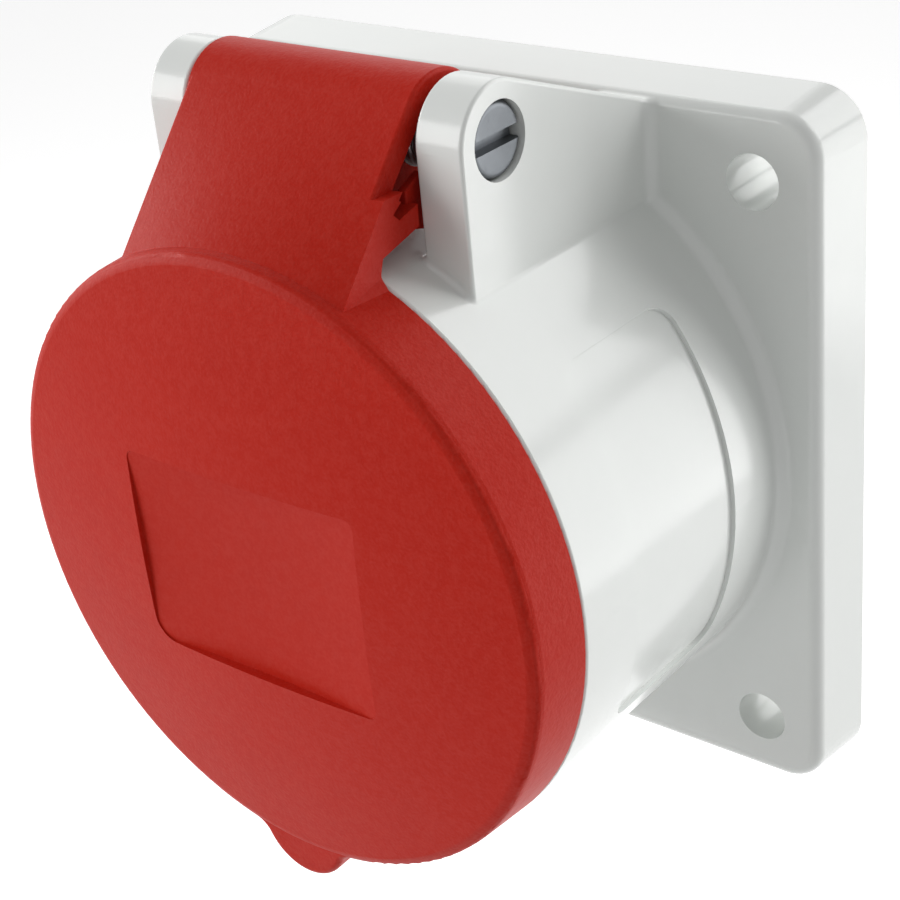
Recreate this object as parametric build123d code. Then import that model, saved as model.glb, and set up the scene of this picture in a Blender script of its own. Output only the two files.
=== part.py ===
from build123d import *
import math
import os

# Five-pole industrial panel socket with a sprung lid, in millimetres.
# Every piece is drawn as seen from the front: x to the right, y up, z out of the panel.
# place() then stands it up: up is +Z, the front faces -Y and the panel plane is Y = 0.

# Barrel and mouth, round the bore that takes the plug's shroud
bore_r = 28.2
barrel_wall = 4.4
barrel_front = 41.7
barrel_edge_r = 0.3
foot_r = 1.4
ear_foot_r = 0.6
neck_step = 1.8
neck_taper = 0.6
neck_high = 4.0
keyway_wide = 7.5
keyway_deep = 1.3
keyway_back = 12.0

# Flange
flange_reach = 4.9
flange_thick = 8.04
flange_corner_r = 4.9
flange_draft = 0.73
flange_edge_r = 1.3
flange_side_wall = 2.6
flange_front_wall = 3.0
hole_inset = 7.5
hole_r = 2.78
hole_boss_r = 6.2
seal_groove_wall = 2.8
seal_groove_wide = 2.6
seal_groove_deep = 2.0
seal_land = 1.6

# Bare label field on the right of the barrel
field_inset = 8.3
field_long = 16.8
field_low_angle = -28.5
field_high_angle = 39.3
field_depth = 0.45
field_corner_r = 2.6

# Hinge
hinge_rise = 7.1
hinge_back = 11.1
ear_r = 5.4
ear_in_right = 13.65
ear_in_left = 14.0
ear_out = 18.75
ear_back_slope = 21.7
ear_edge_r = 0.35
pin_r = 2.1
pin_head_r = 3.5
pin_head_thick = 2.6
pin_recess = 1.3
pin_slot_wide = 1.1
pin_slot_deep = 0.9
pin_cover = 1.95

# Lid
lid_gap = 0.15
lid_set_in = 0.03
lid_draft = 0.45
lid_wall = 4.05
lid_dome_r = 230.0
lid_edge_r = 1.28
rim_gap = 0.4
tab_r = 5.3
tab_set_in = 1.62
tab_lift = 3.65
tab_thick = 2.9
tab_fillet_r = 2.5
tab_edge_r = 0.6
recess_half_wide = 14.3
recess_half_high = 10.6
recess_depth = 1.52
recess_floor_r = 190.0
recess_corner_r = 1.0
recess_low_corner_r = 2.5
ledge_y = 15.0
ledge_wide = 14.0
ledge_thick = 2.0
ledge_high = 2.2

# Hinge arm of the lid
arm_gap = 0.4
arm_wall = 2.1
arm_wrap = 165.0
arm_edge_r = 0.4
arm_root_flare = 0.7
arm_step_in = 1.1
arm_step_drop = 2.9
rib_thick = 2.0
rib_mid_x = 6.0
barrel_gap = 0.6
# the notched cheek behind the arm's face, as points forward of and above the hinge line
cheek_points = [(7.7, -3.7), (8.9, -4.5), (8.2, -5.2), (5.6, -4.6), (5.7, -6.6), (10.8, -7.8)]

# Spring
wire_r = 0.45
wire_sides = 6
coil_room = 0.45
coil_turns = 3
coil_left = 9.2
coil_right = 12.4
spring_leg = 8.0
spring_back_angle = 150.0

# Lid seal
lid_seal_in_step = 0.4
lid_seal_out_step = 0.4
lid_seal_groove = 0.5
lid_seal_squeeze = 1.0

# Inserts behind and inside the barrel
seat_step = 2.0
plug_gap = 5.2
carrier_inset = 6.0
carrier_foot = 1.6
carrier_base = 4.0
carrier_edge_r = 0.8
rear_plate = 3.0
rear_step = 1.2
rear_wall = 3.5
screw_r = 1.2
screw_head_r = 2.3
screw_head_thick = 1.6
screw_slot_wide = 0.6
screw_long = 10.0
lug_r = 3.2
lug_high = 8.0

# Contacts
pitch_inset = 7.5
pole_names = ["pe", "l1", "l2", "l3", "n"]
first_pole_angle = 270.0
line_pin_r = 2.5
earth_pin_r = 3.5
sleeve_wall = 0.9
sleeve_deep = 22.0
sleeve_slot_wide = 0.6
sleeve_slot_long = 14.0
mouth_lip = 3.5
mouth_gap = 0.3
ring_wide = 1.5
ring_deep = 0.45
ring_back = 1.6
ring_gap = 1.0
block_radial = 8.0
block_wide = 7.6
block_long = 16.0
wire_hole_r = 2.2
wire_hole_deep = 11.0
funnel_r = 3.4
clamp_r = 1.85
clamp_back = 9.5
clamp_long = 5.6
clamp_open = 2.3
clamp_slot_wide = 0.8

# Clearances, and how far a cut runs past the face it opens
fit = 0.05
ease = 0.1
over = 1.0

# Worked out across the socket
barrel_r = bore_r + barrel_wall
flange_side = 2 * (barrel_r + flange_reach)
hole_pitch = flange_side - 2 * hole_inset
seat_r = bore_r + seat_step
seal_groove_r = seat_r + seal_groove_wall
neck_foot_r = barrel_r - neck_step
neck_tip_r = neck_foot_r - neck_taper
keyway_r = bore_r + keyway_deep
lid_back_r = barrel_r - lid_set_in
lid_front_r = lid_back_r - lid_draft
lid_rim_r = neck_foot_r + rim_gap
lid_seal_in = bore_r + lid_seal_in_step
lid_seal_out = neck_tip_r + lid_seal_out_step
tab_y = tab_set_in - lid_front_r
carrier_r = bore_r - plug_gap
pitch_r = carrier_r - pitch_inset
rear_r = carrier_r + rear_step
screw_x = seat_r - lug_r - 2 * ease
hinge_y = barrel_r + hinge_rise
ear_root_y = math.sqrt(bore_r ** 2 - ear_out ** 2)
pin_end = ear_out - pin_cover
coil_r = pin_r + coil_room + wire_r
arm_r = coil_r + wire_r + fit + arm_wall
arm_half = ear_in_left - arm_gap
arm_step_x = ear_in_right - arm_step_in

# Worked out along the socket
neck_front = barrel_front + neck_high
field_front = barrel_front - field_inset
field_back = field_front - field_long
hinge_z = barrel_front - hinge_back
lid_back = barrel_front + lid_gap
lid_inside = neck_front + lid_seal_squeeze
lid_crown = lid_inside + lid_wall
tab_back = lid_back + tab_lift
carrier_front = neck_front - carrier_inset
seat_depth = rear_plate
carrier_back = seat_depth
rear_back = carrier_back - block_long - rear_wall
clamp_z = carrier_back - clamp_back
pole_count = len(pole_names)


def place(shape):
    return Plane.XZ.location * shape


def drum(radius, low_z, high_z):
    rod = Cylinder(radius, high_z - low_z, align=(Align.CENTER, Align.CENTER, Align.MIN))
    return Pos(0, 0, low_z) * rod


def tube(outer_r, inner_r, low_z, high_z):
    return drum(outer_r, low_z, high_z) - drum(inner_r, low_z, high_z)


def cross_rod(radius, low_x, high_x):
    # a round bar on the hinge line
    axis = Plane(origin=(low_x, hinge_y, hinge_z), z_dir=(1, 0, 0))
    return extrude(axis * Circle(radius), high_x - low_x)


def side_slab(profile, low_x, high_x):
    # a profile drawn in (z, y), extruded across the socket
    side = Plane(origin=(high_x, 0, 0), x_dir=(0, 0, 1), z_dir=(-1, 0, 0))
    return extrude(side * profile, high_x - low_x)


def outline(*points):
    return make_face(Polyline(*points, close=True))


def off_axis(spot):
    return math.hypot(spot.X, spot.Y)


def at_pole(shape, index):
    angle = first_pole_angle - index * 360.0 / pole_count
    return Rot(0, 0, angle) * shape


def is_earth(index):
    return pole_names[index] == "pe"


def pin_radius(index):
    return earth_pin_r if is_earth(index) else line_pin_r


def sleeve_r(index):
    return pin_radius(index) + sleeve_wall


# Housing
def flange_block():
    taper = math.degrees(math.atan(flange_draft / flange_thick))
    block = extrude(RectangleRounded(flange_side, flange_side, flange_corner_r), flange_thick, taper=taper)
    return fillet(block.faces().sort_by(Axis.Z)[-1].edges(), flange_edge_r)


def ear_profile():
    slope = math.radians(ear_back_slope)
    touch_z = hinge_z - ear_r * math.sin(slope)
    touch_y = hinge_y + ear_r * math.cos(slope)
    back_z = flange_thick - flange_edge_r - over
    back_y = touch_y - (touch_z - back_z) * math.tan(slope)
    front_z = hinge_z + ear_r
    web = outline(
        (touch_z, touch_y),
        (back_z, back_y),
        (back_z, ear_root_y),
        (front_z, ear_root_y),
        (front_z, hinge_y),
        (hinge_z, hinge_y),
    )
    return web + Pos(hinge_z, hinge_y) * Circle(ear_r)


def ear(low_x, high_x):
    slab = side_slab(ear_profile(), low_x, high_x)
    ends = slab.faces().filter_by(Axis.X)
    rims = [e for e in ends.edges() if e.center().Y > ear_root_y + over and e.center().Z > flange_thick]
    return fillet(rims, ear_edge_r)


def neck():
    rise = neck_front - barrel_front
    cone = Cone(neck_foot_r, neck_tip_r, rise, align=(Align.CENTER, Align.CENTER, Align.MIN))
    return Pos(0, 0, barrel_front) * cone


def barrel():
    body = drum(barrel_r, 0, barrel_front)
    return fillet(body.faces().sort_by(Axis.Z)[-1].edges(), barrel_edge_r)


def flange_pockets():
    inner = flange_side - 2 * flange_side_wall
    field = RectangleRounded(inner, inner, flange_side_wall)
    field -= Circle(seal_groove_r + seal_groove_wide + seal_land)
    field -= GridLocations(hole_pitch, hole_pitch, 2, 2) * Circle(hole_boss_r)
    return extrude(field, flange_thick - flange_front_wall)


def label_field():
    # a patch of the barrel's skin, with rounded corners
    step = Plane.XZ * Pos(barrel_r - field_depth, field_back) * Rectangle(
        field_depth + over, field_long, align=(Align.MIN, Align.MIN)
    )
    patch = revolve(step, Axis.Z, field_high_angle - field_low_angle)
    patch = Rot(0, 0, field_low_angle) * patch
    corners = patch.edges().filter_by(GeomType.LINE)
    corners = [e for e in corners if e.bounding_box().size.Z < fit]
    return fillet(corners, field_corner_r)


def keyway():
    slot = Pos(0, -keyway_r / 2, keyway_back) * Box(
        keyway_wide, keyway_r, neck_front - keyway_back, align=(Align.CENTER, Align.CENTER, Align.MIN)
    )
    return slot & drum(keyway_r, keyway_back, neck_front)


def pin_seat():
    head_in = ear_out - pin_recess - pin_head_thick
    seat = cross_rod(pin_head_r + ease, head_in, ear_out + over)
    seat += cross_rod(pin_r + fit, -pin_end - ease, head_in)
    return seat


def housing():
    body = flange_block() + barrel() + ear(ear_in_right, ear_out) + ear(-ear_out, -ear_in_left)
    body = fillet([e for e in body.edges() if is_ear_foot(e)], ear_foot_r)
    body = fillet([e for e in body.edges() if is_foot(e)], foot_r)
    body += neck()
    body -= drum(bore_r, seat_depth, neck_front + over)
    body -= drum(seat_r, -over, seat_depth)
    body -= keyway()
    body -= label_field()
    body -= flange_pockets()
    body -= tube(seal_groove_r + seal_groove_wide, seal_groove_r, -over, seal_groove_deep)
    body -= GridLocations(hole_pitch, hole_pitch, 2, 2) * drum(hole_r, -over, flange_thick + over)
    body -= pin_seat()
    for side in (-1, 1):
        lug = Pos(side * screw_x, 0) * drum(lug_r, seat_depth, seat_depth + lug_high)
        body += lug - insert_room()
        body -= Pos(side * screw_x, 0) * drum(screw_r, seat_depth, seat_depth + lug_high - over)
    return body


def insert_room():
    # the lugs hold the front insert down by its foot
    room = drum(carrier_r + carrier_foot + 2 * ease, seat_depth, seat_depth + carrier_base)
    return room + drum(carrier_r + 2 * ease, seat_depth, seat_depth + lug_high)


def is_ear_foot(edge):
    # where an ear stands on the barrel
    box = edge.bounding_box()
    upright = box.size.Z > ear_r and max(box.size.X, box.size.Y) < fit
    return upright and abs(off_axis(edge.center()) - barrel_r) < fit


def is_foot(edge):
    # where the barrel and the ears rise from the front of the flange
    box = edge.bounding_box()
    spot = edge.center()
    flat = abs(box.min.Z - flange_thick) < fit and box.size.Z < fit
    at_ear = abs(spot.X) < ear_out + fit and spot.Y < flange_side / 2 - flange_edge_r
    return flat and (off_axis(spot) < barrel_r + fit or at_ear)


# Lid
def dome(radius):
    return lid_crown - lid_dome_r + math.sqrt(lid_dome_r ** 2 - radius ** 2)


def cap():
    profile = [
        Line((0, lid_back), (lid_back_r, lid_back)),
        Line((lid_back_r, lid_back), (lid_front_r, dome(lid_front_r))),
        ThreePointArc(
            (lid_front_r, dome(lid_front_r)),
            (lid_front_r / 2, dome(lid_front_r / 2)),
            (0, lid_crown),
        ),
        Line((0, lid_crown), (0, lid_back)),
    ]
    body = revolve(Plane.XZ * make_face(profile), Axis.Z)
    rim = [e for e in body.edges() if abs(e.bounding_box().min.Z - dome(lid_front_r)) < fit]
    return fillet(rim, lid_edge_r)


def lid_hollow():
    hollow = drum(lid_rim_r, lid_back - over, lid_inside)
    return hollow + tube(lid_seal_out + ease, lid_seal_in - ease, lid_inside, lid_inside + lid_seal_groove)


def tab():
    tab_front = tab_back + tab_thick
    plate = drum(lid_front_r, tab_back, tab_front) + Pos(0, tab_y) * drum(tab_r, tab_back, tab_front)
    corners = [e for e in plate.edges().filter_by(Axis.Z) if e.center().Y < tab_y]
    plate = fillet(corners, tab_fillet_r)
    rims = plate.faces().filter_by(Axis.Z).edges()
    return fillet(rims, tab_edge_r)


def label_recess():
    # sunk into the crown, with a floor that is a little hollow
    floor = lid_crown - recess_depth
    plate = Rectangle(2 * recess_half_wide, 2 * recess_half_high)
    low_left = plate.vertices().sort_by(Axis.Y)[:2].sort_by(Axis.X)[0]
    plate = fillet(low_left, recess_low_corner_r)
    square = [v for v in plate.vertices() if v.X > 0 or v.Y > 0]
    prism = Pos(0, 0, floor - over) * extrude(fillet(square, recess_corner_r), recess_depth + 2 * over)
    ball = Rot(90, 0, 0) * Sphere(recess_floor_r)
    return prism & Pos(0, 0, floor + recess_floor_r) * ball


def arm_foot():
    # where the arm's side edge meets the cap, behind the rounding of its rim
    return dome(lid_front_r) - lid_edge_r, math.sqrt(lid_front_r ** 2 - arm_half ** 2)


def arm_tilt():
    # the turn, from +Z towards +Y, of a line off the hinge that is square to the arm's face
    foot_z, foot_y = arm_foot()
    reach = math.hypot(foot_z - hinge_z, foot_y - hinge_y)
    return math.atan2(foot_y - hinge_y, foot_z - hinge_z) + math.acos(arm_r / reach)


def arm_point(offset, run):
    # a point at an offset from the hinge line, run down towards the cap
    tilt = arm_tilt()
    z = hinge_z + offset * math.cos(tilt) + run * math.sin(tilt)
    y = hinge_y + offset * math.sin(tilt) - run * math.cos(tilt)
    return (z, y)


def around_hinge(radius, angle):
    turn = math.radians(angle)
    return (hinge_z + radius * math.cos(turn), hinge_y + radius * math.sin(turn))


def arm_wrap_profile():
    inner_r = arm_r - arm_wall
    middle = (math.degrees(arm_tilt()) + arm_wrap) / 2
    edge = [
        ThreePointArc(arm_point(arm_r, 0), around_hinge(arm_r, middle), around_hinge(arm_r, arm_wrap)),
        Line(around_hinge(arm_r, arm_wrap), around_hinge(inner_r, arm_wrap)),
        ThreePointArc(around_hinge(inner_r, arm_wrap), around_hinge(inner_r, middle), arm_point(inner_r, 0)),
        Line(arm_point(inner_r, 0), arm_point(arm_r, 0)),
    ]
    return make_face(edge)


def arm_face():
    # from a straight line on the hinge barrel to the round rim of the cap
    foot_z = arm_foot()[0]
    low_r = lid_front_r - arm_wall
    root_z, root_y = arm_point(arm_r, 0)
    deep_z, deep_y = arm_point(arm_r - arm_wall, 0)
    root = make_face(Polyline(
        (-arm_half, deep_y, deep_z),
        (arm_half, deep_y, deep_z),
        (arm_half, root_y, root_z),
        (-arm_half, root_y, root_z),
        close=True,
    ))
    low_y = math.sqrt(low_r ** 2 - arm_half ** 2)
    high_y = math.sqrt(lid_front_r ** 2 - arm_half ** 2)
    foot = make_face([
        ThreePointArc((-arm_half, low_y, foot_z), (0, low_r, foot_z), (arm_half, low_y, foot_z)),
        Line((arm_half, low_y, foot_z), (arm_half, high_y, foot_z)),
        ThreePointArc((arm_half, high_y, foot_z), (0, lid_front_r, foot_z), (-arm_half, high_y, foot_z)),
        Line((-arm_half, high_y, foot_z), (-arm_half, low_y, foot_z)),
    ])
    return loft([root, foot], ruled=True)


def arm():
    web = side_slab(arm_wrap_profile(), -arm_half, arm_half) + arm_face()
    step = Pos(arm_step_x, hinge_y - arm_step_drop, 0) * Box(
        arm_half, 4 * arm_r, 2 * hinge_z, align=(Align.MIN, Align.MIN, Align.MIN)
    )
    web -= step
    return fillet([e for e in web.edges() if is_arm_rim(e)], arm_edge_r)


def is_arm_rim(edge):
    # the outer edges of the arm, down its left side and down its right side to the step
    spot = edge.center()
    offset = (spot.Z - hinge_z) * math.cos(arm_tilt()) + (spot.Y - hinge_y) * math.sin(arm_tilt())
    at_side = min(abs(spot.X + arm_half), abs(spot.X - arm_step_x)) < fit
    if edge.geom_type == GeomType.CIRCLE:
        return at_side and edge.radius > arm_r - fit
    return at_side and edge.length > arm_r and offset > arm_r - 2 * ease


def arm_root(side):
    # a flare where a side of the arm meets the side of the cap, which runs out at the cap's rim
    foot_z = arm_foot()[0]
    ends = []
    for radius, z, flare in ((lid_back_r, lid_back, arm_root_flare), (lid_front_r, foot_z, fit)):
        corner_y = math.sqrt(radius ** 2 - arm_half ** 2)
        touch_x = arm_half + flare
        touch_y = math.sqrt(radius ** 2 - touch_x ** 2)
        ends.append(make_face(Polyline(
            (side * arm_half, corner_y + flare, z),
            (side * touch_x, touch_y, z),
            (side * (arm_half - arm_root_flare), corner_y - arm_root_flare, z),
            close=True,
        )))
    return loft(ends, ruled=True)


def web_line():
    # a web's front edge, inside the wall of the arm and down into the cap
    inset_r = arm_r - arm_wall / 2
    foot_z = arm_foot()[0]
    run = (foot_z - hinge_z - inset_r * math.cos(arm_tilt())) / math.sin(arm_tilt())
    return [arm_point(inset_r, 0), arm_point(inset_r, run), (lid_back, lid_rim_r - rib_thick)]


def rib_profile():
    low = [(hinge_z + z, hinge_y + y) for z, y in cheek_points[:-3:-1]]
    low += [(hinge_z, hinge_y - arm_r), (hinge_z, hinge_y)]
    web = outline(*web_line(), (lid_back, barrel_r - rib_thick), *low)
    return web + Pos(hinge_z, hinge_y) * Circle(arm_r)


def cheek_profile():
    # the notched side wall beside the right ear
    notch = [(hinge_z + z, hinge_y + y) for z, y in cheek_points]
    foot_z, foot_y = arm_foot()
    top_y = hinge_y - arm_step_drop - ease
    top_z = arm_point(arm_r, 0)[0] + (arm_point(arm_r, 0)[1] - top_y) * math.tan(arm_tilt())
    low = [(lid_back, lid_rim_r - rib_thick), (lid_back, barrel_r - rib_thick)]
    return outline((top_z, top_y), (foot_z, foot_y), *low, *notch[::-1])


def lid():
    web = arm()
    web += side_slab(rib_profile(), -arm_half, rib_thick - arm_half)
    web += side_slab(rib_profile(), rib_mid_x, rib_mid_x + rib_thick)
    web += side_slab(cheek_profile(), arm_half - rib_thick, arm_half)
    web -= drum(barrel_r + barrel_gap, 0, lid_back)
    body = cap() + web + arm_root(-1) + arm_root(1) + tab()
    body -= lid_hollow()
    body -= label_recess()
    body -= cross_rod(pin_r + fit, -ear_in_left, ear_in_right)
    body += Pos(0, ledge_y, lid_inside - ledge_high) * Box(
        ledge_wide, ledge_thick, ledge_high, align=(Align.CENTER, Align.CENTER, Align.MIN)
    )
    return body


def lid_seal():
    return tube(lid_seal_out, lid_seal_in, neck_front, lid_inside + lid_seal_groove)


# Pin and spring
def hinge_pin():
    head_out = ear_out - pin_recess
    body = cross_rod(pin_r, -pin_end, head_out)
    body += cross_rod(pin_head_r, head_out - pin_head_thick, head_out)
    slot = Pos(head_out, hinge_y, hinge_z) * Box(2 * pin_slot_deep, pin_slot_wide, 3 * pin_head_r)
    return body - slot


def lid_spring():
    # a coil round the pin, with one leg behind the arm's face and one on the barrel
    tilt = arm_tilt()
    turns = coil_turns + (spring_back_angle - math.degrees(tilt)) / 360
    start = Plane(
        origin=(coil_left, hinge_y, hinge_z),
        x_dir=(0, math.sin(tilt), math.cos(tilt)),
        z_dir=(1, 0, 0),
    )
    coil = start * Helix((coil_right - coil_left) / turns, coil_right - coil_left, coil_r, lefthand=True)
    first = coil @ 0
    last = coil @ 1
    run = coil % 1
    floor_y = math.sqrt(barrel_r ** 2 - coil_right ** 2)
    drop = (floor_y + wire_r + 2 * ease - last.Y) / run.Y
    path = Wire([
        Line(first - (coil % 0) * spring_leg, first),
        coil,
        Line(last, last + run * drop),
    ])
    section = Plane(origin=path @ 0, z_dir=path % 0) * RegularPolygon(wire_r, wire_sides)
    return sweep(section, path=path, is_frenet=True)


# Seal behind the flange
def flange_seal():
    outer_r = seal_groove_r + seal_groove_wide - ease
    return tube(outer_r, seal_groove_r + ease, 0, seal_groove_deep)


# Inserts
def contact_carrier():
    body = drum(carrier_r, carrier_back, carrier_front)
    body = fillet(body.faces().sort_by(Axis.Z)[-1].edges(), carrier_edge_r)
    body += drum(carrier_r + carrier_foot, carrier_back, carrier_back + carrier_base)
    for index in range(pole_count):
        chamber = drum(sleeve_r(index) + fit, carrier_back, carrier_front - mouth_lip)
        mouth = drum(pin_radius(index) + mouth_gap, carrier_back, carrier_front)
        body -= at_pole(Pos(pitch_r, 0) * (chamber + mouth), index)
    return body


def block_box(room, front_z, length):
    box = Box(
        block_radial + 2 * room,
        block_wide + 2 * room,
        length,
        align=(Align.CENTER, Align.CENTER, Align.MAX),
    )
    return Pos(pitch_r, 0, front_z) * box


def outward_rod(radius, low_r, high_r):
    axis = Plane(origin=(low_r, 0, clamp_z), z_dir=(1, 0, 0))
    return extrude(axis * Circle(radius), high_r - low_r)


def terminal_carrier():
    body = drum(seat_r - ease, carrier_back - rear_plate, carrier_back)
    body += drum(rear_r, rear_back, carrier_back)
    funnel = Cone(funnel_r, wire_hole_r + ease, rear_wall, align=(Align.CENTER, Align.CENTER, Align.MIN))
    for index in range(pole_count):
        room = block_box(ease, carrier_back, block_long)
        room += Pos(pitch_r, 0, rear_back) * funnel
        room += outward_rod(clamp_r + 2 * ease, pitch_r, rear_r + over)
        body -= at_pole(room, index)
    for side in (-1, 1):
        body -= Pos(side * screw_x, 0) * drum(screw_r + ease, rear_back, carrier_back)
    return body


def carrier_screws():
    low_z = carrier_back - rear_plate
    screw = drum(screw_r - fit, low_z, low_z + screw_long)
    screw += drum(screw_head_r, low_z - screw_head_thick, low_z)
    screw -= Pos(0, 0, low_z - screw_head_thick) * Box(screw_slot_wide, 4 * screw_head_r, screw_head_thick)
    return Pos(-screw_x, 0) * screw + Pos(screw_x, 0) * screw


# Contacts, each drawn on the pole circle at angle 0 and then turned to its place
def sleeve(index):
    outer_r = sleeve_r(index)
    front = carrier_front - mouth_lip
    ring_low = front - ring_back - ring_wide
    body = drum(outer_r, carrier_back, front)
    body -= drum(pin_radius(index), front - sleeve_deep, front)
    body -= tube(outer_r + over, outer_r - ring_deep, ring_low, ring_low + ring_wide)
    body -= Pos(0, 0, front - sleeve_slot_long / 2) * Box(4 * outer_r, sleeve_slot_wide, sleeve_slot_long)
    return at_pole(Pos(pitch_r, 0) * body, index)


def grip_ring(index):
    outer_r = sleeve_r(index)
    low_z = carrier_front - mouth_lip - ring_back - ring_wide + fit
    body = tube(outer_r - fit, outer_r - ring_deep + fit / 2, low_z, low_z + ring_wide - 2 * fit)
    body -= Pos(outer_r, 0, low_z) * Box(2 * ring_wide, ring_gap, 4 * ring_wide)
    return at_pole(Pos(pitch_r, 0) * body, index)


def terminal(index):
    back = carrier_back - block_long
    body = block_box(0, carrier_back, block_long)
    body -= Pos(pitch_r, 0) * drum(wire_hole_r, back, back + wire_hole_deep)
    body -= outward_rod(clamp_r + fit, pitch_r, pitch_r + block_radial)
    return at_pole(body, index)


def terminal_screw(index):
    low_r = pitch_r + clamp_open
    body = outward_rod(clamp_r, low_r, low_r + clamp_long)
    slot = Pos(low_r + clamp_long, 0, clamp_z) * Box(2 * clamp_slot_wide, clamp_slot_wide, 4 * clamp_r)
    return at_pole(body - slot, index)


def pieces():
    named = {
        "housing": housing(),
        "lid": lid(),
        "lid_seal": lid_seal(),
        "hinge_pin": hinge_pin(),
        "lid_spring": lid_spring(),
        "flange_seal": flange_seal(),
        "contact_carrier": contact_carrier(),
        "terminal_carrier": terminal_carrier(),
        "carrier_screws": carrier_screws(),
    }
    makers = {
        "sleeve": sleeve,
        "grip_ring": grip_ring,
        "terminal": terminal,
        "terminal_screw": terminal_screw,
    }
    for kind, maker in makers.items():
        for index, pole in enumerate(pole_names):
            named[kind + "_" + pole] = maker(index)
    return named


os.makedirs("parts", exist_ok=True)
for name, shape in pieces().items():
    export_step(place(shape), "parts/" + name + ".step")
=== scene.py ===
import math

import bpy
import numpy as np
from mathutils import Matrix, Vector


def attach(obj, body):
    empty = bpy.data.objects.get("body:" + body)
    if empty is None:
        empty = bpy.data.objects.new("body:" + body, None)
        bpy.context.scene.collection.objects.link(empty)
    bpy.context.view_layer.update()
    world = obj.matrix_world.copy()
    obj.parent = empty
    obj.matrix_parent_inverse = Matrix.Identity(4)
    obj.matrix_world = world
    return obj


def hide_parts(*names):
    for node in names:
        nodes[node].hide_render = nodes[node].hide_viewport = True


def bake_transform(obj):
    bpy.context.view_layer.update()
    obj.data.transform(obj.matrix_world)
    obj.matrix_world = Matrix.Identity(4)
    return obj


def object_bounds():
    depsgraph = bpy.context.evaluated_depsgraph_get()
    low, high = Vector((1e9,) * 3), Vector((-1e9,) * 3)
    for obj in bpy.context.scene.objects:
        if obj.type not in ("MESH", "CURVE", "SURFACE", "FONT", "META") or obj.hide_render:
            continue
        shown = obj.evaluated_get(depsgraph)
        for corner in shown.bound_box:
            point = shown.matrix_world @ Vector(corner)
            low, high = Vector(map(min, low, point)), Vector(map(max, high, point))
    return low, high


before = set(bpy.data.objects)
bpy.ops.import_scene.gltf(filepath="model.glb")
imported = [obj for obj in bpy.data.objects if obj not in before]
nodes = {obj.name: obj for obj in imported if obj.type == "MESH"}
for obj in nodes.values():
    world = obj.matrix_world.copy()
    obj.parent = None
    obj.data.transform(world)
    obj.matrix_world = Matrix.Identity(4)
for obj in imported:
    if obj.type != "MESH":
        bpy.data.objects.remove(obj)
cad_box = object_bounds()

MM = 0.001
POLES = ("pe", "l1", "l2", "l3", "n")
WHITE = (1, 1, 1, 1)

# The camera, at the photograph's viewing angle: degrees and metres, but millimetres for its lens
CAMERA_TURN = 40.821
CAMERA_RISE = 27.493
CAMERA_ROLL = -5.736
CAMERA_SIDE = 0.011965
CAMERA_UP = 0.008238
CAMERA_AWAY = 0.216483
CAMERA_LENS = 78.07
CAMERA_SENSOR = 36
CAMERA_NEAR = 0.01
CAMERA_FAR = 20

# The studio: the socket floats well above the floor, so its shadow falls outside the picture
FLOOR_DROP = 0.36
FLOOR_SIZE = 8.0
FLOOR_COLOUR = (0.85, 0.85, 0.85, 1)
FLOOR_ROUGHNESS = 0.9
FLOOR_GLOW = 0.55
SKY_LEVEL = 0.38
SOFT_BOXES = {
    "box_right": {"place": (0.62, 0.62, -0.077), "size": (0.59, 0.59), "watts": 3.05},
    "box_right_high": {"place": (0.41, 0.65, 0.56), "size": (0.75, 0.6), "watts": 4.2},
    "box_left": {"place": (-0.737, -0.461, 0.233), "size": (1.1, 0.5), "watts": 7.0},
    "box_behind": {"place": (-0.53, 0.63, 0.475), "size": (0.5, 0.5), "watts": 0.7},
}

# Metals: two colours, roughness on the smooth and rough side of a tool line, lines per metre and
# their depth in metres
METALS = {
    "bright_steel": {
        "colour": (0.46, 0.48, 0.50, 1), "worn_colour": (0.40, 0.42, 0.44, 1),
        "smooth": 0.24, "rough": 0.40, "rings": 9000.0, "depth": 0.000002,
    },
    "pin_steel": {
        "colour": (0.165, 0.176, 0.188, 1), "worn_colour": (0.14, 0.148, 0.158, 1),
        "smooth": 0.34, "rough": 0.46, "rings": 8000.0, "depth": 0.000002,
    },
    "spring_steel": {
        "colour": (0.40, 0.41, 0.43, 1), "worn_colour": (0.28, 0.27, 0.27, 1),
        "smooth": 0.22, "rough": 0.38, "rings": 15000.0, "depth": 0.0000015,
    },
    "brass": {
        "colour": (0.74, 0.53, 0.22, 1), "worn_colour": (0.55, 0.36, 0.14, 1),
        "smooth": 0.20, "rough": 0.36, "rings": 7000.0, "depth": 0.000003,
    },
}

# Hair scratches: the turn of each set in radians, and how fine it is along each axis
SCRATCHES = (((0.3, 0.5, 0.2), (60, 2200, 900)), ((1.1, -0.4, 0.9), (1800, 80, 1100)))

# The lid's sunk label field, and what is left there of the grain's depth
FIELD_HALF_WIDE = 14.2 * MM
FIELD_HALF_HIGH = 10.5 * MM
FIELD_GRAIN = 0.35

# The painted highlight on the tops of the lid's grain: a paler red, and how much of it is mixed in
GRAIN_TOP_HIGHLIGHT_RED = (0.60, 0.08, 0.06, 1)
GRAIN_TOP_HIGHLIGHT_SHARE = 0.14

# Faces that meet at more than this angle have a sharp edge between them
CREASE = math.radians(35)

# Hinge line and barrel, as the solids have them
HINGE_Y = -30.6 * MM
HINGE_Z = 39.7 * MM
BARREL_R = 32.6 * MM

# Hinge pin: its shank, its head in the right ear, and the slot along Y
PIN_R = 2.1 * MM
PIN_LEFT = -16.8 * MM
PIN_HEAD_R = 3.42 * MM
PIN_HEAD_LOW = 14.85 * MM
PIN_HEAD_TOP = 18.4 * MM
PIN_HEAD_SOFT = 0.55 * MM
PIN_SLOT_HALF = 0.68 * MM
PIN_SLOT_DEEP = 1.2 * MM
PIN_FACE_EDGE = math.radians(-87)
PIN_FACE_LINES = 22
PIN_FACE_STEPS = 41

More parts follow.
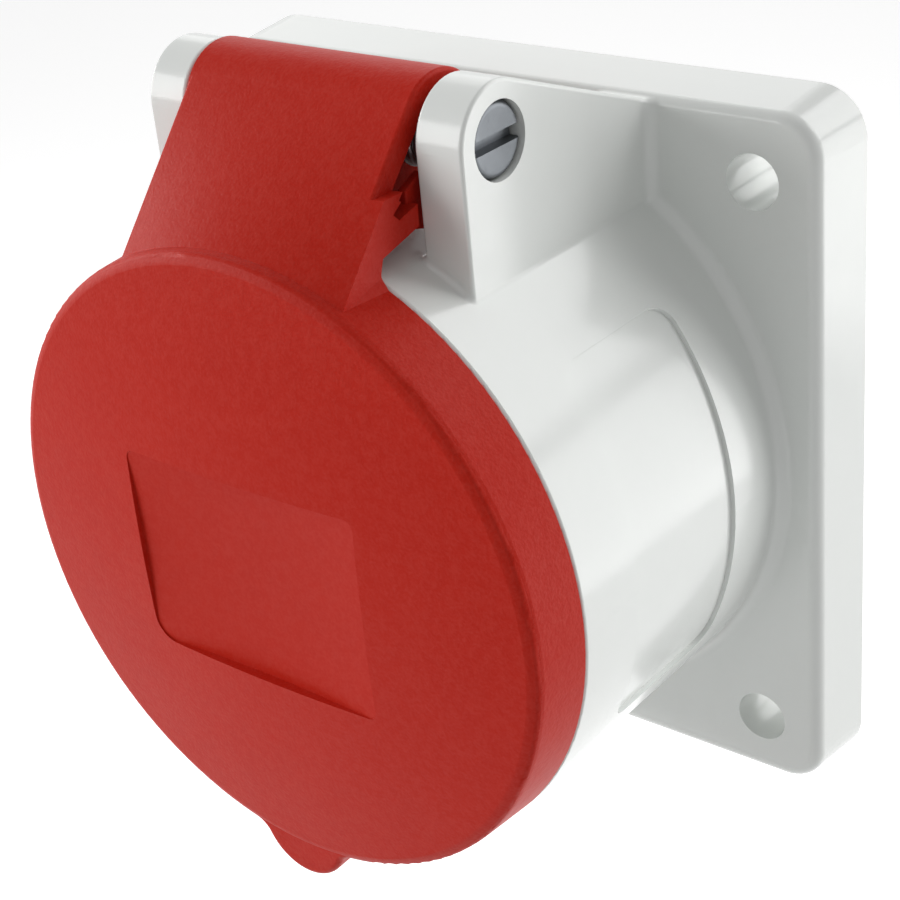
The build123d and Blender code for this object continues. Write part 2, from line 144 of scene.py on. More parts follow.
# Flap of the arm's notched cheek, which closes the view under the hinge. Its corners are Y and Z
# in millimetres.
FLAP_LEFT = 11.7 * MM
FLAP_RIGHT = 12.7 * MM
FLAP_EDGE_R = 0.25 * MM
FLAP_CORNERS = (
    (-36.6, 36.2), (-36.6, 33.3), (-35.5, 32.3), (-33.6, 31.75),
    (-32.6, 32.6), (-32.4, 35.2), (-34.2, 37.2),
)
FLAP_SIDE_STEPS = 12
FLAP_BEND_STEPS = 6

# Lid spring
WIRE_R = 0.45 * MM
WIRE_SIDES = 16
COIL_R = 3.0 * MM
COIL_LEFT = 9.2 * MM
COIL_RIGHT = 12.4 * MM
COIL_START = math.radians(40.955)
COIL_END = math.radians(150.0 + 3 * 360.0)
COIL_STEPS = 220
SPRING_LEG = 8.0 * MM
LEG_REST = 0.2 * MM
LEG_STEPS = 20

# Seal rings, as inner and outer radius and their reach along Y, with the groove in both faces as
# shares of the section's half height and half width
LID_SEAL = {"low_r": 28.6 * MM, "high_r": 30.6 * MM, "low_y": -47.2 * MM, "high_y": -45.7 * MM}
FLANGE_SEAL = {"low_r": 33.1 * MM, "high_r": 35.5 * MM, "low_y": -2.0 * MM, "high_y": 0.0}
SEAL_SQUARENESS = 0.55
SEAL_GROOVE_DEEP = 0.22
SEAL_GROOVE_WIDE = 0.22
SEAL_ROUND_STEPS = 240
SEAL_SECTION_STEPS = 48

# Screws in general
SCREW_STEP = 0.09 * MM
SCREW_SIDES = 64
SLOT_SOFT = 0.07 * MM

# Carrier screws, whose profile is radius and height from the tip to the top of the domed head
SCREW_X = 26.8 * MM
SCREW_R = 1.15 * MM
SCREW_TIP = 0.7 * MM
SCREW_NECK = 0.4 * MM
SCREW_HEAD_R = 2.3 * MM
SCREW_HEAD_THICK = 1.6 * MM
SCREW_LONG = 10.0 * MM
SCREW_PROFILE = (
    (0.3 * MM, -SCREW_LONG),
    (SCREW_R, -SCREW_LONG + SCREW_TIP),
    (SCREW_R, -SCREW_NECK),
    (SCREW_R, 0),
    (SCREW_HEAD_R - 0.15 * MM, 0),
    (SCREW_HEAD_R, 0.15 * MM),
    (SCREW_HEAD_R, 0.9 * MM),
    (SCREW_HEAD_R - 0.2 * MM, 1.25 * MM),
    (SCREW_HEAD_R - 0.7 * MM, 1.5 * MM),
    (0.05 * MM, SCREW_HEAD_THICK),
)
SCREW_THREAD = {
    "low": -SCREW_LONG + SCREW_TIP, "high": -SCREW_NECK, "pitch": 0.8 * MM, "depth": 0.3 * MM,
}
SCREW_SLOT = {"wide": 0.6 * MM, "deep": 0.8 * MM}

# Clamp screws, whose profile goes from the chamfered tip to the flat top. The first is at 6
# o'clock, and the others follow clockwise, seen from the front.
CLAMP_R = 1.85 * MM
CLAMP_LOW = 17.8 * MM
CLAMP_LONG = 5.6 * MM
CLAMP_Y = 6.5 * MM
CLAMP_FIRST = math.radians(270.0)
CLAMP_PROFILE = (
    (0.4 * MM, 0),
    (CLAMP_R - 0.5 * MM, 0.05 * MM),
    (CLAMP_R, 0.5 * MM),
    (CLAMP_R, CLAMP_LONG - 0.35 * MM),
    (CLAMP_R - 0.35 * MM, CLAMP_LONG - 0.02 * MM),
    (0.05 * MM, CLAMP_LONG),
)
CLAMP_THREAD = {
    "low": 0.5 * MM, "high": CLAMP_LONG - 0.4 * MM, "pitch": 0.7 * MM, "depth": 0.28 * MM,
}
CLAMP_SLOT = {"wide": 0.8 * MM, "deep": 0.8 * MM}


# Shader nodes
class Graph:
    """A tree of shader nodes, with short ways to add to it. Where a value is asked for, a number, a
    colour or another node's output can be given."""

    def __init__(self, tree):
        self.tree = tree

    def feed(self, socket, value):
        if isinstance(value, bpy.types.NodeSocket):
            self.tree.links.new(value, socket)
        else:
            socket.default_value = value

    def put(self, kind, values=(), **settings):
        """Adds a node with its settings and with values for its inputs."""
        node = self.tree.nodes.new("ShaderNode" + kind)
        for key, value in settings.items():
            setattr(node, key, value)
        for key, value in dict(values).items():
            self.feed(node.inputs[key], value)
        return node

    def math(self, operation, *values, **settings):
        node = self.put("Math", dict(enumerate(values)), operation=operation, **settings)
        return node.outputs[0]

    def noise(self, place, scale, detail, distortion=0.0):
        values = {"Vector": place, "Scale": scale, "Detail": detail, "Distortion": distortion}
        return self.put("TexNoise", values).outputs["Fac"]

    def mask(self, value, low, high):
        """0 up to the low value and 1 from the high value on."""
        return self.put("MapRange", {"Value": value, "From Min": low, "From Max": high}).outputs[0]

    def between(self, mask, low, high):
        """A value that goes from low to high as the mask goes from 0 to 1."""
        return self.put("MapRange", {"Value": mask, "To Min": low, "To Max": high}).outputs[0]

    def mix(self, share, first, second):
        """A colour that goes from the first to the second as the share goes from 0 to 1."""
        values = {"Fac": share, "Color1": first, "Color2": second}
        return self.put("MixRGB", values).outputs[0]

    def seen_directly(self):
        """1 for rays that see this straight, in a reflection or through glass, else 0."""
        path = self.put("LightPath").outputs
        glossy = self.math("MAXIMUM", path["Is Camera Ray"], path["Is Glossy Ray"])
        return self.math("MAXIMUM", glossy, path["Is Transmission Ray"])


# Camera, lamps, sky and floor
def camera():
    """Places the camera by its turn, rise and roll about the frame's origin, then by its
    distance."""
    turn, rise, roll = (math.radians(a) for a in (CAMERA_TURN, CAMERA_RISE, CAMERA_ROLL))
    ahead = Vector((
        -math.sin(turn) * math.cos(rise),
        math.cos(turn) * math.cos(rise),
        -math.sin(rise),
    ))
    right = Vector((math.cos(turn), math.sin(turn), 0))
    up = right.cross(ahead)
    side = right * math.cos(roll) + up * math.sin(roll)
    top = up * math.cos(roll) - right * math.sin(roll)
    place = -(side * CAMERA_SIDE + top * CAMERA_UP + ahead * CAMERA_AWAY)
    data = bpy.data.cameras.new("camera")
    data.lens = CAMERA_LENS
    data.sensor_width = CAMERA_SENSOR
    data.clip_start = CAMERA_NEAR
    data.clip_end = CAMERA_FAR
    eye = bpy.data.objects.new("camera", data)
    eye.matrix_world = Matrix((
        (side.x, top.x, -ahead.x, place.x),
        (side.y, top.y, -ahead.y, place.y),
        (side.z, top.z, -ahead.z, place.z),
        (0, 0, 0, 1),
    ))
    bpy.context.scene.collection.objects.link(eye)
    bpy.context.scene.camera = eye


def soft_box(name, place, size, watts):
    """A lamp of the given width and height that faces the socket."""
    data = bpy.data.lights.new(name, "AREA")
    data.shape = "RECTANGLE"
    data.size, data.size_y = size
    data.energy = watts
    box = bpy.data.objects.new(name, data)
    box.location = place
    box.rotation_euler = (-Vector(place)).to_track_quat("-Z", "Y").to_euler()
    bpy.context.scene.collection.objects.link(box)


def sky():
    """A white room: strength 1 where it is seen, and a softer level where it lights the socket."""
    world = bpy.data.worlds.new("studio")
    bpy.context.scene.world = world
    world.use_nodes = True
    graph = Graph(world.node_tree)
    shown = graph.tree.nodes["Background"]
    graph.feed(shown.inputs["Color"], WHITE)
    graph.feed(shown.inputs["Strength"], 1.0)
    softer = graph.put("Background", {"Color": WHITE, "Strength": SKY_LEVEL})
    values = {"Fac": graph.seen_directly(), 1: softer.outputs[0], 2: shown.outputs[0]}
    mix = graph.put("MixShader", values)
    graph.feed(graph.tree.nodes["World Output"].inputs["Surface"], mix.outputs[0])


def floor():
    """A pale floor that adds a little glow where it is seen, so that it is white and still takes
    a shadow."""
    low = cad_box[0][2] - FLOOR_DROP
    half = FLOOR_SIZE / 2
    corners = [(-half, -half, low), (half, -half, low), (half, half, low), (-half, half, low)]
    mesh = bpy.data.meshes.new("floor")
    mesh.from_pydata(corners, [], [(0, 1, 2, 3)])
    board = bpy.data.objects.new("floor", mesh)
    bpy.context.scene.collection.objects.link(board)
    paint = bpy.data.materials.new("floor_white")
    paint.use_nodes = True
    graph = Graph(paint.node_tree)
    matt = graph.tree.nodes["Principled BSDF"]
    graph.feed(matt.inputs["Base Color"], FLOOR_COLOUR)
    graph.feed(matt.inputs["Roughness"], FLOOR_ROUGHNESS)
    level = graph.math("MULTIPLY", graph.seen_directly(), FLOOR_GLOW)
    glow = graph.put("Emission", {"Strength": level})
    both = graph.put("AddShader", {0: matt.outputs[0], 1: glow.outputs[0]})
    graph.feed(graph.tree.nodes["Material Output"].inputs["Surface"], both.outputs[0])
    mesh.materials.append(paint)


# Effects that several finishes share, each a node group
class Effect(Graph):
    """A node group with named inputs and outputs."""

    def __init__(self, name, inputs, outputs):
        super().__init__(bpy.data.node_groups.new(name, "ShaderNodeTree"))
        for label, kind, start in inputs:
            socket = self.tree.interface.new_socket(
                label, in_out="INPUT", socket_type="NodeSocket" + kind
            )
            if start is not None:
                socket.default_value = start
        for label, kind in outputs:
            self.tree.interface.new_socket(
                label, in_out="OUTPUT", socket_type="NodeSocket" + kind
            )
        self.given = self.tree.nodes.new("NodeGroupInput").outputs
        self.result = self.tree.nodes.new("NodeGroupOutput").inputs

    def give(self, **sources):
        for label, source in sources.items():
            self.feed(self.result[label], source)


def fine_grain():
    """The eroded grain of a mould: small round pits of one size over softer ones three times as
    wide. Height is in metres, and the second output, a mask for a painted highlight, is higher on
    the tops of the grain."""
    effect = Effect(
        "fine_grain",
        [
            ("Place", "Vector", None),
            ("Grains per metre", "Float", 4000.0),
            ("Depth", "Float", 0.00001),
        ],
        [("Height", "Float"), ("Worn", "Float")],
    )
    place, grains = effect.given["Place"], effect.given["Grains per metre"]
    pits = effect.noise(place, scale=grains, detail=1.0)
    soft = effect.noise(place, scale=effect.math("MULTIPLY", grains, 0.33), detail=2.0)
    both = effect.math("ADD", pits, soft)
    effect.give(
        Height=effect.math("MULTIPLY", both, effect.given["Depth"]),
        # painted highlight: the mask is high on the grain's tops, where the two noises add up most
        Worn=effect.mask(both, 0.8, 1.25),
    )


def moulded_tone():
    """How moulded plastic varies: a broad drift of colour where the melt cooled slower, and small
    flecks. Drift is the mask of the broad drift."""
    effect = Effect(
        "moulded_tone",
        [
            ("Place", "Vector", None),
            ("Colour", "Color", (0.5, 0.5, 0.5, 1)),
            ("Drift colour", "Color", (0.5, 0.5, 0.5, 1)),
            ("Drift", "Float", 0.4),
            ("Flecks", "Float", 0.1),
        ],
        [("Colour", "Color"), ("Drift", "Float")],
    )
    given = effect.given
    broad = effect.noise(given["Place"], scale=45.0, detail=2.0, distortion=0.6)
    wide = effect.mask(broad, 0.3, 0.7)
    small = effect.mask(effect.noise(given["Place"], scale=900.0, detail=3.0), 0.35, 0.65)
    drifted = effect.math("MULTIPLY", wide, given["Drift"])
    flecked = effect.math("MULTIPLY", small, given["Flecks"])
    share = effect.math("ADD", drifted, flecked, use_clamp=True)
    effect.give(Colour=effect.mix(share, given["Colour"], given["Drift colour"]), Drift=wide)


def turned_lines():
    """Fine tool lines: a noise along the distance from the X axis plus the place along it, so
    rings on a face across X and turns along a shank. Height is in metres, and Streak varies from
    line to line."""
    effect = Effect(
        "turned_lines",
        [
            ("Place", "Vector", None),
            ("Rings per metre", "Float", 9000.0),
            ("Depth", "Float", 0.000002),
        ],
        [("Height", "Float"), ("Streak", "Float")],
    )
    given = effect.given
    across = effect.put("VectorMath", {0: given["Place"], 1: (0, 1, 1)}, operation="MULTIPLY")
    far = effect.put("VectorMath", {0: across.outputs[0]}, operation="LENGTH").outputs["Value"]
    along = effect.put("SeparateXYZ", {0: given["Place"]}).outputs["X"]
    turns = effect.math("MULTIPLY", effect.math("ADD", far, along), given["Rings per metre"])
    values = {"W": turns, "Scale": 1.0, "Detail": 2.0}
    rings = effect.put("TexNoise", values, noise_dimensions="1D").outputs["Fac"]
    effect.give(Height=effect.math("MULTIPLY", rings, given["Depth"]), Streak=rings)


def handling_marks():
    """Hair scratches in two directions and soft finger smears, as a mask from 0 to 1."""
    effect = Effect(
        "handling_marks",
        [("Place", "Vector", None), ("Scratches", "Float", 0.5), ("Smears", "Float", 0.5)],
        [("Mask", "Float")],
    )
    given = effect.given
    found = []
    for turn, stretch in SCRATCHES:
        values = {"Vector": given["Place"], "Rotation": turn, "Scale": stretch}
        laid = effect.put("Mapping", values).outputs[0]
        found.append(effect.mask(effect.noise(laid, scale=1.0, detail=1.0), 0.66, 0.74))
    scratched = effect.math("MULTIPLY", effect.math("MAXIMUM", *found), given["Scratches"])
    smear = effect.noise(given["Place"], scale=120.0, detail=3.0, distortion=1.5)
    smeared = effect.math("MULTIPLY", effect.mask(smear, 0.45, 0.7), given["Smears"])
    effect.give(Mask=effect.math("ADD", scratched, smeared, use_clamp=True))


# Finishes
class Finish(Graph):
    """A material on Object coordinates, with its Principled shader. In the names of inputs an
    underscore stands for a space."""

    def __init__(self, name):
        self.made = bpy.data.materials.new(name)
        self.made.use_nodes = True
        super().__init__(self.made.node_tree)
        self.shader = self.tree.nodes["Principled BSDF"]
        self.place = self.put("TexCoord").outputs["Object"]

    def effect(self, name, **values):
        """The outputs of a shared effect."""
        values = {key.replace("_", " "): value for key, value in values.items()}
        group = bpy.data.node_groups[name]
        return self.put("Group", {"Place": self.place, **values}, node_tree=group).outputs

    def shade(self, **values):
        """Sets or feeds inputs of the shader."""
        for key, value in values.items():
            self.feed(self.shader.inputs[key.replace("_", " ")], value)

    def raise_surface(self, height):
        """Bumps the surface by a height in metres."""
        bump = self.put("Bump", {"Height": height, "Distance": 1.0, "Strength": 1.0})
        self.shade(Normal=bump.outputs[0])


def housing_grey():
    """Glossy pale grey moulding: almost no grain, a slight ripple, and faint marks in its
    gloss."""
    finish = Finish("housing_grey")
    tone = finish.effect(
        "moulded_tone", Colour=(0.775, 0.795, 0.772, 1), Drift_colour=(0.745, 0.768, 0.748, 1),
        Drift=0.5, Flecks=0.12,
    )
    marks = finish.effect("handling_marks", Scratches=0.25, Smears=0.5)["Mask"]
    ripple = finish.noise(finish.place, scale=160.0, detail=1.0)
    grain = finish.effect("fine_grain", Grains_per_metre=3200.0, Depth=0.0000006)["Height"]
    finish.shade(
        Base_Color=tone["Colour"], Roughness=finish.between(marks, 0.17, 0.27), IOR=1.5
    )
    finish.raise_surface(finish.math("ADD", finish.math("MULTIPLY", ripple, 0.00001), grain))
    return finish.made


def lid_red():
    """Red moulding with an eroded grain, which has a painted highlight in a paler red on its tops
    and is lower in the sunk label field."""
    finish = Finish("lid_red")
    tone = finish.effect(
        "moulded_tone", Colour=(0.485, 0.017, 0.007, 1), Drift_colour=(0.45, 0.014, 0.006, 1),
        Drift=0.5, Flecks=0.2,
    )
    grain = finish.effect("fine_grain", Grains_per_metre=3300.0, Depth=0.000028)
    marks = finish.effect("handling_marks", Scratches=0.3, Smears=0.4)["Mask"]
    axes = finish.put("SeparateXYZ", {0: finish.place}).outputs
    inside = finish.math("MULTIPLY", *(
        finish.math("LESS_THAN", finish.math("ABSOLUTE", axes[axis]), half)
        for axis, half in (("X", FIELD_HALF_WIDE), ("Z", FIELD_HALF_HIGH))
    ))
    depth = finish.between(inside, 1.0, FIELD_GRAIN)
    # painted highlight: a paler red mixed in on the tops of the grain
    top_highlight = finish.math("MULTIPLY", grain["Worn"], GRAIN_TOP_HIGHLIGHT_SHARE)
    finish.shade(
        Base_Color=finish.mix(top_highlight, tone["Colour"], GRAIN_TOP_HIGHLIGHT_RED),
        Roughness=finish.between(marks, 0.42, 0.50),
        Specular_IOR_Level=0.09,
    )
    finish.raise_surface(finish.math("MULTIPLY", grain["Height"], depth))
    return finish.made


def insert_plastic():
    """Dark satin moulding of the two contact carriers."""
    finish = Finish("insert_plastic")
    tone = finish.effect(
        "moulded_tone", Colour=(0.030, 0.031, 0.034, 1), Drift_colour=(0.045, 0.046, 0.050, 1),
        Drift=0.5, Flecks=0.35,
    )
    grain = finish.effect("fine_grain", Grains_per_metre=2600.0, Depth=0.000010)
    marks = finish.effect("handling_marks", Scratches=0.6, Smears=0.4)["Mask"]
    finish.shade(Base_Color=tone["Colour"], Roughness=finish.between(marks, 0.38, 0.52))
    finish.raise_surface(grain["Height"])
    return finish.made


def seal_rubber():
    """Matt black rubber with a bloom of pale dust in patches and flecks."""
    finish = Finish("seal_rubber")
    tone = finish.effect(
        "moulded_tone", Colour=(0.018, 0.018, 0.019, 1), Drift_colour=(0.050, 0.050, 0.048, 1),
        Drift=0.6, Flecks=0.5,
    )
    grain = finish.effect("fine_grain", Grains_per_metre=5200.0, Depth=0.000020)
    finish.shade(Base_Color=tone["Colour"], Roughness=finish.between(tone["Drift"], 0.62, 0.8))
    finish.raise_surface(grain["Height"])
    return finish.made


def metal(name, colour, worn_colour, smooth, rough, rings, depth):
    """Metal turned or drawn: a colour that dulls in patches, and tool lines in its gloss and
    height."""
    finish = Finish(name)
    tone = finish.effect(
        "moulded_tone", Colour=colour, Drift_colour=worn_colour, Drift=0.7, Flecks=0.35
    )
    lines = finish.effect("turned_lines", Rings_per_metre=rings, Depth=depth)
    marks = finish.effect("handling_marks", Scratches=0.8, Smears=0.6)["Mask"]
    streaks = finish.between(lines["Streak"], smooth, rough)
    roughness = finish.math("ADD", streaks, finish.math("MULTIPLY", marks, 0.12))
    finish.shade(Base_Color=tone["Colour"], Roughness=roughness, Metallic=1.0)
    finish.raise_surface(lines["Height"])
    return finish.made


def dress(names, made):
    """Gives CAD nodes their material."""
    for name in names:
        mesh = nodes[name].data
        mesh.materials.clear()
        mesh.materials.append(made)


# New pieces, which stand for plainer solids, apart from the flap
def piece(name, points, faces, made, body, slot, *replaced):
    """A mesh from arrays of points and faces, smooth where it isn't creased, that stands for the
    CAD nodes named last. It rides on its body, unless that is None."""
    mesh = bpy.data.meshes.new(name)
    mesh.from_pydata(points.reshape(-1, 3).tolist(), [], faces)
    mesh.polygons.foreach_set("use_smooth", np.ones(len(mesh.polygons), bool))
    mesh.set_sharp_from_angle(angle=CREASE)
    mesh.materials.append(made)
    obj = bpy.data.objects.new(name, mesh)
    bpy.context.scene.collection.objects.link(obj)
    if body:
        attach(obj, body)
    if replaced:
        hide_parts(*replaced)
    return obj


def band(rows, columns, closed=False):
    """The faces of a grid of rows that each close on themselves, joined end to end where
    closed."""
    count = rows if closed else rows - 1
    row = np.arange(count)[:, None]
    column = np.arange(columns)[None, :]
    after = (column + 1) % columns
    above = (row + 1) % rows
    corners = [
        row * columns + column,
        row * columns + after,
        above * columns + after,
        above * columns + column,
    ]
    return np.stack(np.broadcast_arrays(*corners), -1).reshape(-1, 4).tolist()


def ends(rows, columns):
    """The two end faces that close a band."""
    return [list(range(columns))[::-1], list(range((rows - 1) * columns, rows * columns))]


def swept_tube(path, radius, sides):
    """A round tube along a path: each point is the path's point plus radius times
    (cosine of u times the side vector plus sine of u times the square vector), with the side
    vector as near to +X as the path's direction allows."""
    run = np.gradient(path, axis=0)
    run /= np.linalg.norm(run, axis=1, keepdims=True)
    side = np.array([1.0, 0, 0]) - run[:, :1] * run
    side /= np.linalg.norm(side, axis=1, keepdims=True)
    square = np.cross(run, side)
    turn = np.linspace(0, 2 * np.pi, sides, endpoint=False)[None, :, None]
    ring = np.cos(turn) * side[:, None] + np.sin(turn) * square[:, None]
    return path[:, None] + radius * ring


def hinge_pin(made):
    """The pin: its head's face is a grid of lines along the slot, each as long as the round head
    is there, whose height falls by a quarter circle at the rim and by the slot's depth inside the
    slot. Rings go on from the face's outline down the head and along the shank."""
    rise = np.linspace(PIN_FACE_EDGE, -math.asin(PIN_SLOT_HALF / PIN_HEAD_R), PIN_FACE_LINES)
    low_side = PIN_HEAD_R * np.sin(rise)
    aside = np.concatenate([low_side, [-PIN_SLOT_HALF, PIN_SLOT_HALF], -low_side[::-1]])
    steps = np.sin(np.linspace(-math.pi / 2, math.pi / 2, PIN_FACE_STEPS))
    along = steps * np.sqrt(PIN_HEAD_R ** 2 - aside ** 2)[:, None]
    aside = np.broadcast_to(aside[:, None], along.shape)
    outside = np.hypot(aside, along) - (PIN_HEAD_R - PIN_HEAD_SOFT)
    outside = np.clip(outside, 0, PIN_HEAD_SOFT)
    height = PIN_HEAD_TOP - PIN_HEAD_SOFT + np.sqrt(PIN_HEAD_SOFT ** 2 - outside ** 2)
    height[len(low_side):len(low_side) + 2] = PIN_HEAD_TOP - PIN_SLOT_DEEP
    face = np.stack([height, along, aside], -1).reshape(-1, 3)

    index = np.arange(len(face)).reshape(along.shape)
    corners = [index[:-1, :-1], index[:-1, 1:], index[1:, 1:], index[1:, :-1]]
    faces = np.stack(corners, -1).reshape(-1, 4).tolist()
    last = np.concatenate([index[:-1, 0], index[-1, :-1], index[:0:-1, -1], index[0, :0:-1]])
    outline = face[last, 1:]
    outline = outline / np.linalg.norm(outline, axis=1, keepdims=True)
    points = [face]
    for radius, x in (
        (PIN_HEAD_R, PIN_HEAD_TOP - PIN_SLOT_DEEP - PIN_HEAD_SOFT),
        (PIN_HEAD_R, PIN_HEAD_LOW),
        (PIN_R, PIN_HEAD_LOW),
        (PIN_R, PIN_LEFT + PIN_HEAD_SOFT),
        (PIN_R - PIN_HEAD_SOFT, PIN_LEFT),
    ):
        ring = sum(len(p) for p in points) + np.arange(len(last))
        points.append(np.column_stack([np.full(len(last), x), radius * outline]))
        faces += np.stack([last, np.roll(last, -1), np.roll(ring, -1), ring], -1).tolist()
        last = ring
    faces.append(last.tolist())
    points = np.concatenate(points) + np.array([0, HINGE_Y, HINGE_Z])
    piece("hinge_pin_turned", points, faces, made, "root", "bright_steel", "hinge_pin")


def cheek_flap(made):
    """A plate whose outline is carried from left to right, drawn in by a quarter circle at both
    ends."""
    corners = np.array(FLAP_CORNERS) * MM
    steps = np.linspace(0, 1, FLAP_SIDE_STEPS, endpoint=False)[None, :, None]
    outline = corners[:, None] * (1 - steps) + np.roll(corners, -1, axis=0)[:, None] * steps
    outline = outline.reshape(-1, 2)
    inward = outline.mean(axis=0) - outline
    inward /= np.linalg.norm(inward, axis=1, keepdims=True)
    bend = np.linspace(0, math.pi / 2, FLAP_BEND_STEPS)
    x = np.concatenate([
        FLAP_LEFT + FLAP_EDGE_R * (1 - np.cos(bend)),
        FLAP_RIGHT - FLAP_EDGE_R * (1 - np.cos(bend[::-1])),
    ])
    drawn_in = FLAP_EDGE_R * (1 - np.sin(np.concatenate([bend, bend[::-1]])))
    rings = outline[None] + drawn_in[:, None, None] * inward[None]
    rows, columns = rings.shape[:2]
    points = np.concatenate([np.broadcast_to(x[:, None, None], (rows, columns, 1)), rings], -1)
    faces = band(rows, columns) + ends(rows, columns)
    piece("arm_cheek_flap", points, faces, made, "lid", "lid_red")


def lid_spring(made):
    """The torsion spring: a coil round the hinge pin whose angle runs from the leg under the
    arm's face to the leg that rests on the barrel, with both legs straight along the coil's ends.
    It rides on no body."""
    angle = np.linspace(COIL_START, COIL_END, COIL_STEPS)
    across = np.linspace(COIL_LEFT, COIL_RIGHT, COIL_STEPS)
    coil = np.stack([
        across, HINGE_Y - COIL_R * np.cos(angle), HINGE_Z + COIL_R * np.sin(angle)
    ], 1)
    start_run = np.array([0, math.sin(COIL_START), math.cos(COIL_START)])
    end_run = np.array([0, math.sin(COIL_END), math.cos(COIL_END)])
    rest_z = math.sqrt(BARREL_R ** 2 - COIL_RIGHT ** 2) + WIRE_R + LEG_REST
    drop = (rest_z - coil[-1, 2]) / end_run[2]
    leg = np.linspace(SPRING_LEG, SPRING_LEG / LEG_STEPS, LEG_STEPS)[:, None]
    last_leg = np.linspace(drop / LEG_STEPS, drop, LEG_STEPS)[:, None]
    path = np.concatenate([coil[0] - start_run * leg, coil, coil[-1] + end_run * last_leg])
    rings = swept_tube(path, WIRE_R, WIRE_SIDES)
    faces = band(len(path), WIRE_SIDES) + ends(len(path), WIRE_SIDES)
    spring = piece("lid_spring_wire", rings, faces, made, None, "spring_steel", "lid_spring")
    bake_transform(spring)


def squared(wave):
    """A cosine or sine, kept in sign and raised to a power below 1, which squares the oval."""
    return np.sign(wave) * np.abs(wave) ** SEAL_SQUARENESS


def seal_ring(name, low_r, high_r, low_y, high_y, made, body, slot, node):
    """A moulded ring turned about Y. Its section is a squared oval, radius + half width times
    cosine and middle + half height times sine, each to a power below 1, with a shallow groove
    pressed into both faces by a bell curve across the width."""
    mid_r, half_r = (low_r + high_r) / 2, (high_r - low_r) / 2
    mid_y, half_y = (low_y + high_y) / 2, (high_y - low_y) / 2
    around = np.linspace(0, 2 * np.pi, SEAL_SECTION_STEPS, endpoint=False)
    wide, high = squared(np.cos(around)), squared(np.sin(around))
    groove = 1 - SEAL_GROOVE_DEEP * np.exp(-(wide / SEAL_GROOVE_WIDE) ** 2)
    radius = (mid_r + half_r * wide)[None]
    along = mid_y + half_y * high * groove
    turn = np.linspace(0, 2 * np.pi, SEAL_ROUND_STEPS, endpoint=False)[:, None]
    points = np.stack([
        np.cos(turn) * radius,
        np.broadcast_to(along, (SEAL_ROUND_STEPS, SEAL_SECTION_STEPS)),
        np.sin(turn) * radius,
    ], -1)
    faces = band(SEAL_ROUND_STEPS, SEAL_SECTION_STEPS, closed=True)
    piece(name, points, faces, made, body, slot, node)


def slotted_screw(foot, outward, across, profile, thread, slot):
    """A turned screw along its outward direction, from rings along a profile of radius and
    height. On the shank the radius falls and rises once per pitch, along the height and once
    round, which makes the thread. The top drops by the slot's depth within half the slot's width
    of the slot's line."""
    radius, height = (np.array(v) for v in zip(*profile))
    length = np.concatenate([[0], np.cumsum(np.hypot(np.diff(radius), np.diff(height)))])
    fine = np.unique(np.concatenate([length, np.arange(0, length[-1], SCREW_STEP)]))
    radius, height = np.interp(fine, length, radius), np.interp(fine, length, height)
    turn = np.linspace(0, 2 * np.pi, SCREW_SIDES, endpoint=False)
    phase = height[:, None] / thread["pitch"] + turn[None] / (2 * np.pi)
    on_shank = ((height > thread["low"]) & (height < thread["high"]))[:, None]
    grown = radius[:, None] - thread["depth"] * np.abs(2 * (phase % 1) - 1) * on_shank
    aside, along = grown * np.cos(turn), grown * np.sin(turn)
    in_slot = np.clip((slot["wide"] / 2 + SLOT_SOFT - np.abs(aside)) / SLOT_SOFT, 0, 1)
    over_slot = np.clip(height - (height.max() - slot["deep"]), 0, None)[:, None]
    risen = height[:, None] - over_slot * in_slot
    square = np.cross(outward, across)
    points = np.array(foot) + sum(
        part[..., None] * np.array(way)
        for part, way in ((aside, across), (along, square), (risen, outward))
    )
    faces = band(len(fine), SCREW_SIDES) + ends(len(fine), SCREW_SIDES)
    return points.reshape(-1, 3), faces


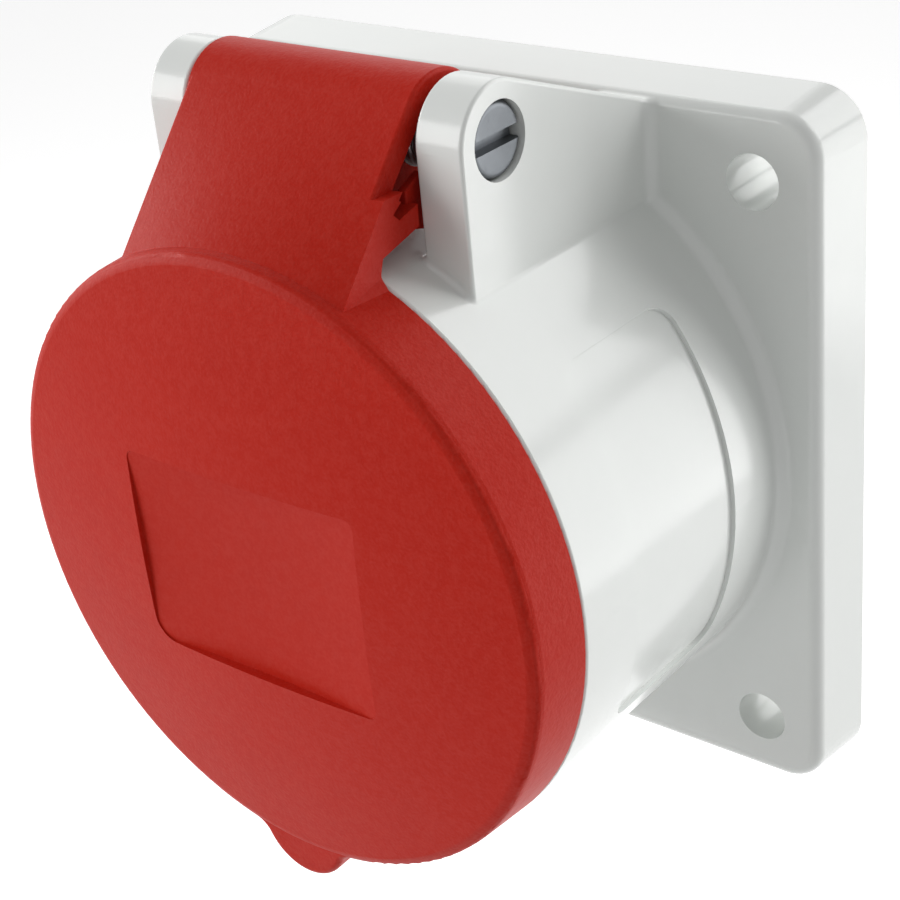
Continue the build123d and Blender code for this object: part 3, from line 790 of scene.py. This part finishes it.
def carrier_screws(made):
    """The two screws behind, each with a domed slotted head on the carrier and a threaded
    shank."""
    points, faces = [], []
    for side in (-1, 1):
        spots, found = slotted_screw(
            (side * SCREW_X, 0, 0), (0, 1, 0), (1, 0, 0), SCREW_PROFILE, SCREW_THREAD, SCREW_SLOT
        )
        before = len(points) * len(spots)
        faces += [[corner + before for corner in face] for face in found]
        points.append(spots)
    piece("carrier_screws_turned", np.concatenate(points), faces, made, "root", "bright_steel",
          "carrier_screws")


def clamp_screws(made):
    """Five headless screws that clamp the wires, threaded to the top, with a slot along Y."""
    for index, pole in enumerate(POLES):
        turn = CLAMP_FIRST - index * 2 * math.pi / len(POLES)
        outward = (math.cos(turn), 0, math.sin(turn))
        across = (-math.sin(turn), 0, math.cos(turn))
        foot = (CLAMP_LOW * outward[0], CLAMP_Y, CLAMP_LOW * outward[2])
        points, faces = slotted_screw(
            foot, outward, across, CLAMP_PROFILE, CLAMP_THREAD, CLAMP_SLOT
        )
        piece("clamp_screw_" + pole, points, faces, made, "root", "bright_steel",
              "terminal_screw_" + pole)


camera()
sky()
floor()
for name, box in SOFT_BOXES.items():
    soft_box(name, **box)
bpy.context.scene.view_settings.view_transform = "Standard"

fine_grain()
moulded_tone()
turned_lines()
handling_marks()

metals = {name: metal(name, **values) for name, values in METALS.items()}
steel, spring_steel = metals["bright_steel"], metals["spring_steel"]
rubber = seal_rubber()
insert = insert_plastic()
grey = housing_grey()
red = lid_red()

dress(["housing"], grey)
dress(["lid"], red)
dress(["contact_carrier", "terminal_carrier"], insert)
dress(["hinge_pin"], metals["pin_steel"])
dress(["carrier_screws"], steel)
dress(["lid_spring"], spring_steel)
dress(["lid_seal", "flange_seal"], rubber)
for pole in POLES:
    dress(["sleeve_" + pole, "terminal_" + pole], metals["brass"])
    dress(["grip_ring_" + pole], spring_steel)
    dress(["terminal_screw_" + pole], steel)

hinge_pin(metals["pin_steel"])
cheek_flap(red)
lid_spring(spring_steel)
carrier_screws(steel)
clamp_screws(steel)
seal_ring("lid_seal_ring", **LID_SEAL,
          made=rubber, body="lid", slot="seal_rubber", node="lid_seal")
seal_ring("flange_seal_ring", **FLANGE_SEAL,
          made=rubber, body="root", slot="seal_rubber", node="flange_seal")
